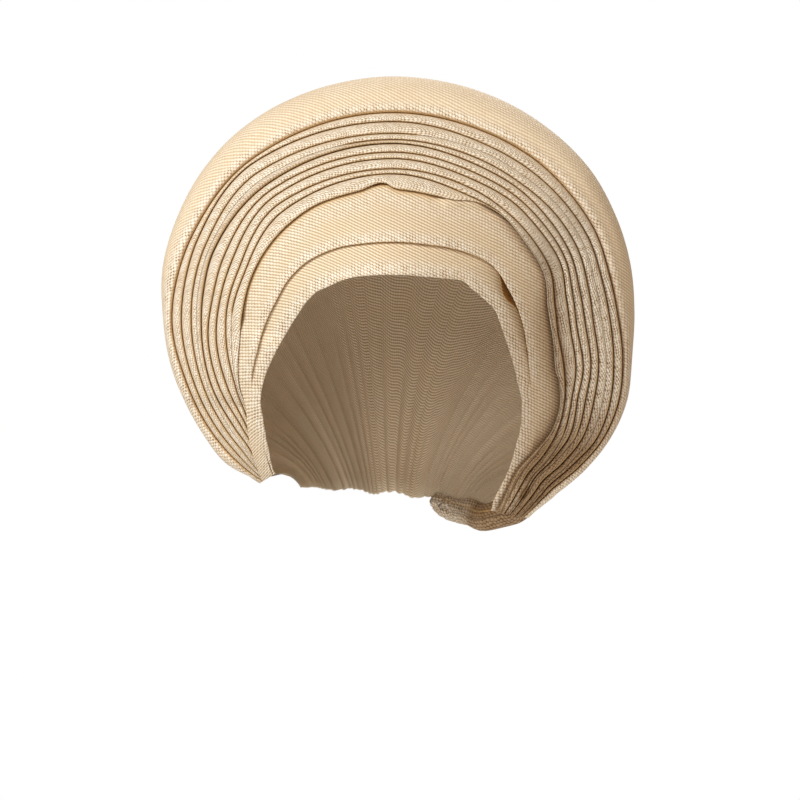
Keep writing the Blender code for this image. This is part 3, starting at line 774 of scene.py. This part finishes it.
def fold(k):
    """Radius, depth, share of the way across and masks of a fold's rows. Past its lip it sinks with w,
    the way to the next groove: a gentle slope, then a steep end as a high power of w."""
    start, end = lines[:, k, None], lines[:, k + 1, None]
    floor, next_floor = FLOORS[k] * reliefs[:, k, None], FLOORS[k + 1] * reliefs[:, k + 1, None]
    shown, next_shown = ramp(reliefs[:, k, None], 0.05, 0.6), ramp(reliefs[:, k + 1, None], 0.05, 0.6)
    nose = nose_width(end - start, to_right)
    at_lip = start + nose * (1 - np.cos(bend))
    sinking = start + nose + (end - LINE_WIDTH - start - nose) * w
    lip_depth = (floor + proud) * (1 - np.sin(bend)) / 2 - proud
    lean = 1 - 0.75 * to_right * (1 - low_right)
    fall = lean * (0.16 * w + 0.10 * w ** 2) + (1 - 0.26 * lean) * w ** (7 - 2 * to_right - 2.8 * low_right)
    radius = np.concatenate([at_lip, sinking], 1)
    depth = np.concatenate([lip_depth, (next_floor + proud) * fall - proud], 1)
    share = (radius - start) / (end - start)

    # Painted shade: a warm strip under each lip, and a dark line before the next lip.
    strip = (0.36 + 0.12 * to_left) * (1 - 0.8 * to_right)
    strip = strip * (1 - ramp(at_lip - start, 0.6, 2.6 + 1.6 * to_left))
    before_next = ramp(sinking - end, -1.9 - 0.7 * to_right, -0.4 - 0.3 * to_right)
    shaded_groove = np.concatenate([
        shown * np.where(bend < -0.1, 1.0, strip),
        (0.88 + 0.12 * to_right) * next_shown * before_next,
    ], 1)

    # Painted shade: on the first folds on the right, past the fifth groove, low on the right and near each
    # next groove.
    under_fifth = past_fifth if k == NAMES.index("f") else 0 * past_fifth
    inner = INNER_SHADE[k] * to_right if k < len(INNER_SHADE) else 0
    even = np.maximum(in_shadow, inner if k < 2 else 0)
    fading = np.maximum(FIFTH_SHADE * under_fifth, inner if k == 2 else 0)
    shade = np.maximum(even, fading * (1 - share) ** 1.5)
    before_next = ramp(sinking - end, -4.0 - 6 * low_right, -0.5)
    line_shade = (0.45 + 0.55 * low_right) * to_right * next_shown * before_next
    shade[:, LIP_STEPS:] = np.maximum(shade[:, LIP_STEPS:], line_shade)

    # Painted highlight on the crests, stronger on the right.
    merging = window(pleat_column, 10, 17, 30, 31) if k == 0 else 0
    bright = (1 + 0.6 * to_right * (1 - 0.8 * low_right)) * (1 - 0.6 * merging)
    crest_highlight = np.concatenate([
        bright * (1 - 0.7 * under_fifth) * (0.45 + 0.55 * ramp(np.sin(bend), -0.3, 0.6)),
        bright * (1.0 - 0.25 * w),
    ], 1)
    return radius, depth, share, crest_highlight, shaded_groove, shade


radius, depth, share, crest_highlight, shaded_groove, shade = (
    np.concatenate(rows, 1) for rows in zip(*(fold(k) for k in range(len(NAMES)))))
print(len(NAMES), "folds,", radius.shape[1], "rows")

# %% Leaf fold
# Low on the right one full fold turns over like a leaf, with a hollow beside it, sunk and
# darkened with painted shade; the leaf itself gets less painted shade.
LEAF, HOLLOW = (118, 127, 132, 136), 125.5      # degrees
LEAF_HEIGHT, HOLLOW_DEPTH = 0.0018, 0.0026
LEAF_SPREAD, HOLLOW_SPREAD = 3.4, 3.6           # pixels across it, degrees along it
leaf_middle, hollow_middle = (lines[:, 1:2] + lines[:, 3:4]) / 2, lines[:, 3:4] + 1.5
in_leaf = window(pleat_column, *LEAF) * hump(radius, leaf_middle, LEAF_SPREAD)
in_hollow = hump(pleat_column, HOLLOW, HOLLOW_SPREAD) * hump(radius, hollow_middle, LEAF_SPREAD)
depth = depth - LEAF_HEIGHT * in_leaf + HOLLOW_DEPTH * in_hollow
shade = np.maximum(shade - 0.30 * in_leaf, ramp(in_hollow, 0.05, 0.5))

# %% Back of the pleats, and the whole piece
REAR_ROWS = 9
REAR_INSET = 3             # pixels from the first lip to where the rear wall ends
FLOOR_PAST = 4             # pixels from the last groove to where it starts
front_rows = radius.shape[1]
edge = lines[:, :1]
floor_radius = lines[:, -1:] + FLOOR_PAST
backs = np.linspace(1, 0, REAR_ROWS)
rear_radius = edge + REAR_INSET + (floor_radius - edge - REAR_INSET) * backs
rear_depth = FIRST_FLOOR + (1.2 * PLEAT_FLOOR - FIRST_FLOOR) * ramp(rear_radius - edge, 8, 20) + PLEAT_WALL
hidden = np.ones((PLEAT_COLUMNS, REAR_ROWS + 1))
radius = np.concatenate([radius, floor_radius, rear_radius], 1)
depth = np.concatenate([depth, PLEAT_FLOOR + 0 * edge, rear_depth], 1)
crest_highlight, shaded_groove, shade, share = (
    np.concatenate([mask, value * hidden], 1)
    for mask, value in ((crest_highlight, 0.2), (shaded_groove, 0.3), (shade, 0), (share, 1)))
points = front(pleat_column, radius, depth + fan_depth(pleat_column))

# %% Weave of the pleats
ROW_SHIFT = 0.0011         # metres that the weave is shifted from fold to fold
TURNED = (-70, -40, 30, 55)     # degrees: over the top the ribs lean further
rows_each = LIP_STEPS + SINK_STEPS
lengths = np.zeros(radius.shape)
for k in range(len(NAMES)):
    rows = slice(k * rows_each, (k + 1) * rows_each)
    lengths[:, rows] = along(points[:, rows.start + LIP_STEPS])[:, None] + ROW_SHIFT * k
lengths[:, front_rows:] = lengths[:, front_rows - 1:front_rows]
widths = across(points)
fold_width = np.concatenate([np.repeat(np.diff(lines, axis=1), rows_each, 1), hidden], 1) * PIXEL
chevron = fold_width * np.sqrt((share - 0.5) ** 2 + 0.01)
turned = window(pleat_column, *TURNED)
flat = np.stack([widths + 0.30 * lengths * turned, lengths + chevron + 0.5 * widths], -1)
pleats = cloth_piece("fan_pleats_cloth", points, flat, crest_highlight, shaded_groove, shade)
finish_piece(pleats, "pleated_fan", cloth_material("pleat_cloth", rib=2.4, stray=0.0008),
             flat_size(points, slice(0, front_rows)))

# %% [markdown]
# ## Brim
#
# Past the last groove the cloth opens out, rolls back in a quarter of an ellipse to the rim and
# is turned under behind it, where its hem lies on the crown. A bevelled curve could make the
# rolled edge alone, but one grid takes the cloth from the groove round the rim to the hem with no
# seam.

# %% Back surface
NAPE_WIDTH, NAPE_DEPTH, NAPE_START = 0.124, 0.083, 0.0115
NAPE_DROP, NAPE_TILT, HEM_ARC = 0.057, 0.006, 62
RIM_PULL, NAPE_PULL, NAPE_OUT, NAPE_UP = 0.36, 0.40, 0.50, 0.80
HEM = 0.12                 # of the way to the nape: where the brim's hem ends
UP_ANGLE = (LEFT_FOOT + RIGHT_FOOT) / 2
TINY = 0.001               # of the way: the step that a slope is measured over


def brim_point(angle, turn, inset=0.0):
    """turn 0 at the last groove, 1 at the rim: a quarter of an ellipse, inset metres inside it."""
    angle, turn, inset = np.broadcast_arrays(angle, turn, inset)
    root = through(FOLDS, "i", angle)
    rim = through(RIM, "radius", angle)
    swing = np.pi / 2 * turn
    y = front_y(angle, root) + BRIM_ROLL * through(SECTIONS, "roll", angle) * (1 - np.cos(swing))
    y = y + fan_depth(angle) + inset * np.cos(swing)
    return place(angle, root + (rim - root) * np.sin(swing) - inset / PIXEL * np.sin(swing), y)


def nape_point(angle):
    """A point of the hem at the nape, and the way out from the head there."""
    side = (angle - UP_ANGLE) / (RIGHT_FOOT - UP_ANGLE)
    turn = np.radians(HEM_ARC * side)
    out = np.stack([np.sin(turn), np.cos(turn), 0 * turn], -1)
    spot = [NAPE_WIDTH / 2 * out[..., 0], NAPE_START + (NAPE_DEPTH - NAPE_START) * out[..., 1],
            -NAPE_DROP - NAPE_TILT * side]
    return np.stack(spot, -1), out


def back_base(angle, way):
    """The back's smooth surface, way 0 at the rim and 1 at the nape: a cubic curve at each angle."""
    angle, way = np.broadcast_arrays(angle, way)
    rim = brim_point(angle, 1.0)
    nape, out = nape_point(angle)
    chord = np.linalg.norm(nape - rim, axis=-1)[..., None]
    rim_handle = rim + np.array([0, 1, 0]) * RIM_PULL * chord
    nape_handle = nape + (out * NAPE_OUT + np.array([0, 0, NAPE_UP])) * NAPE_PULL * chord
    way = way[..., None]
    rest = 1 - way
    return (rim * rest ** 3 + rim_handle * 3 * rest ** 2 * way
            + nape_handle * 3 * rest * way ** 2 + nape * way ** 3)


def back_point(angle, way, inset):
    """A point inset metres inside the back's smooth surface."""
    angle, way, inset = np.broadcast_arrays(angle, way, inset)
    across = back_base(angle + 1, way) - back_base(angle - 1, way)
    down = back_base(angle, way + TINY) - back_base(angle, np.maximum(way - TINY, 0))
    inward = np.cross(down, across)
    inward /= np.linalg.norm(inward, axis=-1)[..., None]
    return back_base(angle, way) + inward * inset[..., None]


# %% Brim
BRIM_WALL = 0.0014
LIP_ROWS, TURN_ROWS, HEM_ROWS = 9, 34, 8
BRIM_NOSE = 3.0            # pixels that its lip is rounded over
BEAD_PLACE, BEAD_SPREAD = 5.5, 4.5      # pixels past the last groove
DENT, DENT_PLACE, DENT_SPREAD = 0.35, 13, 4
# Where the brim's sides get a painted highlight, in degrees.
LEFT_HIGHLIGHT, RIGHT_HIGHLIGHT = (-112, -85, -60, -45), (70, 95, 120, 136)    # degrees
BRIM_SHADE, SHADE_SPAN = 0.34, (25, 75, 100, 125)
ACROSS_SHARE = 0.78        # how far the weave is drawn out across the brim

root = through(FOLDS, "i", column)
brim_width = through(RIM, "radius", column) - root
bend = np.radians(np.linspace(-80, 90, LIP_ROWS))
nose = np.minimum(BRIM_NOSE, 0.35 * brim_width)
lip_radius = root + nose * (1 - np.cos(bend))
lip_turn = np.arcsin(np.clip((lip_radius - root) / brim_width, 0, 1)) * 2 / np.pi
turns = lip_turn[:, -1:] + (1 - lip_turn[:, -1:]) * np.linspace(0, 1, TURN_ROWS + 1)[1:]
outer_turns = np.concatenate([lip_turn, turns], 1)
lip_floor = PLEAT_FLOOR * foot_relief(column) * (0.85 - 0.3 * hump(column, *SOFT_END))
past_root = brim_width * np.sin(np.pi / 2 * outer_turns)
bead = hump(past_root, BEAD_PLACE, BEAD_SPREAD) - DENT * hump(past_root, DENT_PLACE, DENT_SPREAD)
sunk = np.concatenate([lip_floor * (1 - np.sin(bend)) / 2, 0 * turns], 1)
outer_points = brim_point(column, outer_turns)
outer_points[..., 1] += sunk - PROUD * foot_relief(column) * bead
hem_ways = np.linspace(0, HEM, HEM_ROWS + 1)[1:]
hem_points = back_point(column, hem_ways, 0.0)
hem_inside = back_point(column, hem_ways[::-1], BRIM_WALL)
inner_points = brim_point(column, turns[:, ::-2], BRIM_WALL)
points = np.concatenate([outer_points, hem_points, hem_inside, inner_points], 1)

front_rows = LIP_ROWS + TURN_ROWS
reach = root * PIXEL + ACROSS_SHARE * (across(points) - across(points)[:, LIP_ROWS // 2, None])
# Painted highlight: near the lip, and on both sides of the brim.
side_highlight = 0.35 * window(column, *LEFT_HIGHLIGHT) + 0.45 * window(column, *RIGHT_HIGHLIGHT)
speck_highlight = EDGE_HIGHLIGHT * (1 - ramp(past_root, 5, 14))
speck_highlight = speck_highlight + side_highlight * (1 - ramp(past_root, 0.55 * brim_width, brim_width))
crest_highlight = np.full(points.shape[:2], 0.10)
crest_highlight[:, :front_rows] = np.clip(speck_highlight, 0.10, 1)
crest_highlight[:, :LIP_ROWS] *= ramp(np.sin(bend), -0.2, 0.7)
# Painted shade: a warm strip and a dark line under the brim's lip, on the right and low on the right.
shaded_groove, shade = np.zeros(points.shape[:2]), np.zeros(points.shape[:2])
strip = 0.48 * (1 - 0.7 * ramp(column, *TO_RIGHT)) * (1 - ramp(past_root[:, :LIP_ROWS], 0.8, 4.0))
shaded_groove[:, :LIP_ROWS] = np.where(bend < -0.1, 1.0, strip)
shade[:, :front_rows] = 0.35 * ramp(column, 100, 124) * (1 - ramp(past_root, 0, 0.6 * brim_width))
shade = np.maximum(shade, BRIM_SHADE * window(column, *SHADE_SPAN))
brim = cloth_piece("fan_brim_cloth", points, grain(column, reach), crest_highlight, shaded_groove, shade)
finish_piece(brim, "pleated_fan", cloth_material("brim_cloth", valley=BRIM_TAN),
             flat_size(points, slice(0, front_rows + HEM_ROWS)))

# %% [markdown]
# ## Crown drape
#
# From the brim's hem the cloth goes back over the crown in one curved sheet and is drawn in to
# the nape in soft gathers. A simulated sheet could hang there, but the picture doesn't show this
# side, so a plain surface is as true: cubic curves from rim to nape, drawn in by waves.

# %% Crown drape
GATHERS = 5
GATHER_DEPTH = 0.018
DRAPE_START = 0.06         # of the way to the nape: where the drape starts, under the brim's hem
DRAPE_WALL = 0.0012


def gather_depth(angle, way):
    """How far the gathers draw the crown in, as a share of the chord."""
    turns = GATHERS * (angle - LEFT_FOOT) / (RIGHT_FOOT - LEFT_FOOT)
    large = 0.5 * (1 - np.cos(2 * np.pi * turns))
    fine = 0.5 * (1 - np.cos(2 * np.pi * (3 * turns + 0.35 * np.sin(5 * turns))))
    uneven = 7 * turns + 0.5 * np.sin(3.3 * turns) + 0.3 * np.sin(9 * turns)
    pinch = 1 - np.abs(np.sin(np.pi * uneven)) ** 0.7
    large_share = ramp(way, 0.12, 0.35)
    fine_share = 0.30 * ramp(way, 0.30, 0.85)
    pinch_share = 0.34 * ramp(way, 0.42 + 0.16 * np.sin(11 * turns), 0.95)
    return GATHER_DEPTH * (large_share * large + fine_share * fine + pinch_share * pinch)


def drape_point(angle, way, inset=0.0):
    nape, out = nape_point(angle)
    chord = np.linalg.norm(nape - brim_point(angle, 1.0), axis=-1)
    return back_point(angle, way, BRIM_WALL + GAP + inset + chord * gather_depth(angle, way))


DRAPE_ROWS = 80
ways = np.linspace(DRAPE_START, 1, DRAPE_ROWS)
outside = drape_point(column, ways)
inside = drape_point(column, ways[::-3], DRAPE_WALL)
points = np.concatenate([outside, inside], 1)
folds = gather_depth(column, ways) / GATHER_DEPTH
# Painted highlight on the gathers' crests; painted shade in their folds and under the brim's hem.
crest_highlight = np.full(points.shape[:2], 0.15)
crest_highlight[:, :DRAPE_ROWS] = 0.6 * (1 - np.clip(folds, 0, 1))
shaded_groove = np.zeros(points.shape[:2])
shaded_groove[:, :DRAPE_ROWS] = 0.45 * ramp(folds, 0.5, 1.3) + 0.5 * (1 - ramp(ways, HEM, HEM + 0.015))
lengths = np.broadcast_to(along(points[:, DRAPE_ROWS // 2])[:, None], points.shape[:2])
flat = np.stack([lengths, across(points) + 0.41 * lengths], -1)
drape = cloth_piece("crown_drape_cloth", points, flat, crest_highlight, shaded_groove)
finish_piece(drape, "crown_drape", cloth_material("drape_cloth"), flat_size(points, slice(0, DRAPE_ROWS)))

# %% [markdown]
# ## Nape knot
#
# The end of the cloth is rolled and tucked under the hem, low on the viewer's right. It could be
# sculpted, but a profile with three lobes, carried along a line and twisted on its way, is how a
# rolled cloth lies.

# %% Nape knot
KNOT_RADIUS = 0.0085
KNOT_END = np.array([0.0245, -0.010, 0.0065])
KNOT_START, KNOT_HEM_SHARE = 0.40, 0.65
KNOT_TUCK = 0.0036         # how far the roll's top is tucked up behind the hem
KNOT_FLAT = (0.10, 0.022)  # the roll's own length and half its girth
KNOT_COLUMNS, KNOT_ROWS = 90, 72
Roll = namedtuple("Roll", "way size twist")
ROLLS = (
    Roll(0.00, 0.50, 0), Roll(0.12, 0.80, 20), Roll(0.32, 0.92, 50), Roll(0.60, 1.00, 85),
    Roll(0.85, 1.00, 120), Roll(0.95, 0.85, 150), Roll(1.00, 0.35, 165),
)


def knot_centre(way):
    """The roll's middle line: under the hem, then straight on past its right corner."""
    on_hem = np.minimum(way / KNOT_HEM_SHARE, 1)
    past = np.maximum(way - KNOT_HEM_SHARE, 0) / (1 - KNOT_HEM_SHARE)
    hem_angle = UP_ANGLE + (RIGHT_FOOT - UP_ANGLE) * (KNOT_START + (1 - KNOT_START) * on_hem)
    seat = drape_point(hem_angle, np.ones_like(way))
    drop = KNOT_RADIUS * np.maximum(through(ROLLS, "size", way), past) + GAP
    return seat - np.stack([0 * drop, 0 * drop, drop - KNOT_TUCK], -1) + past[:, None] * KNOT_END


ways = np.linspace(0, 1, KNOT_COLUMNS)
centres = knot_centre(ways)
forward = np.gradient(centres, axis=0)
forward /= np.linalg.norm(forward, axis=1)[:, None]
side = np.cross(forward, [0, 0, 1])
side /= np.linalg.norm(side, axis=1)[:, None]
up = np.cross(side, forward)
turns = np.linspace(0, 2 * np.pi, KNOT_ROWS, endpoint=False)
twist = np.radians(through(ROLLS, "twist", ways))[:, None]
lobes = np.abs(np.cos(1.5 * turns + twist / 2)) ** 0.6
wrinkle = np.cos(9 * turns + 3 * twist + 5 * ways[:, None])
wrinkle = wrinkle + 1.5 * np.cos(4 * turns - 2 * twist + 21 * ways[:, None])
size = KNOT_RADIUS * through(ROLLS, "size", ways)[:, None] * (0.80 + 0.18 * lobes + 0.02 * wrinkle)
points = (centres[:, None] + side[:, None] * (np.cos(turns) * size)[..., None]
          + up[:, None] * (np.sin(turns) * size)[..., None])
lengths = np.broadcast_to(along(points[:, 0])[:, None], points.shape[:2])
flat = 0.8 * np.stack([across(points), lengths + 0.5 * across(points)], -1)
# Painted highlight on the lobes; painted shade in the creases and over the whole knot, darkest past the
# hem's corner.
crest_highlight = 0.6 + 0.6 * lobes
shaded_groove = 0.5 * (1 - ramp(lobes, 0.20, 0.27))
shade = 0.45 + 0.55 * ramp(ways, 0.35, 0.6)[:, None] - 0.12 * lobes
knot = cloth_piece("nape_knot_cloth", points, flat, crest_highlight, shaded_groove, shade)
finish_piece(knot, "nape_knot", cloth_material("knot_cloth", rib=2.2), KNOT_FLAT)
